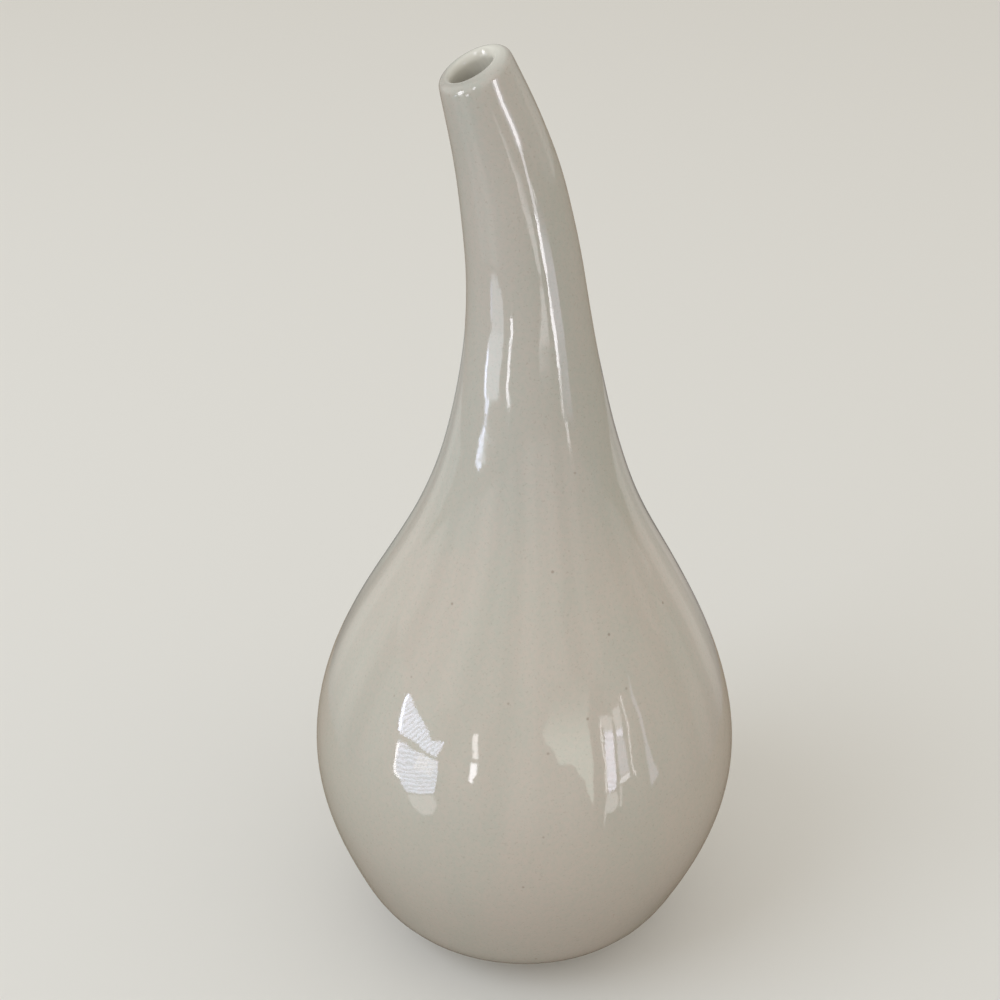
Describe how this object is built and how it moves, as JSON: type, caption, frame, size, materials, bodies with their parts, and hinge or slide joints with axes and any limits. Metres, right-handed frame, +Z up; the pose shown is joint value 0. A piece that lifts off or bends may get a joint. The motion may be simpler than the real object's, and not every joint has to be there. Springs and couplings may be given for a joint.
{
  "type": "teardrop bud vase",
  "caption": "Glazed ceramic bud vase with a round bulb that draws up into a slim neck leaning to one side, open at a small tilted mouth.",
  "frame": {"origin": "middle of the foot ring, on the surface that the vase stands on", "axes": "+Z up; the front is towards -Y; the neck leans to the left, towards -X, and forward"},
  "size_m": [0.094, 0.094, 0.2],
  "materials": {
    "bare_clay": "fired stoneware clay, bare and matt, seen only on the foot",
    "glaze": "glossy warm off-white glaze with faint specks and soft streaks down the neck",
    "liner_glaze": "the same glaze poured inside, a little thinner and duller"
  },
  "bodies": {
    "root": {"clay_bulb": "bare_clay", "clay_neck": "bare_clay", "outer_glaze": "glaze", "liner_glaze": "liner_glaze"}
  },
  "joints": []
}
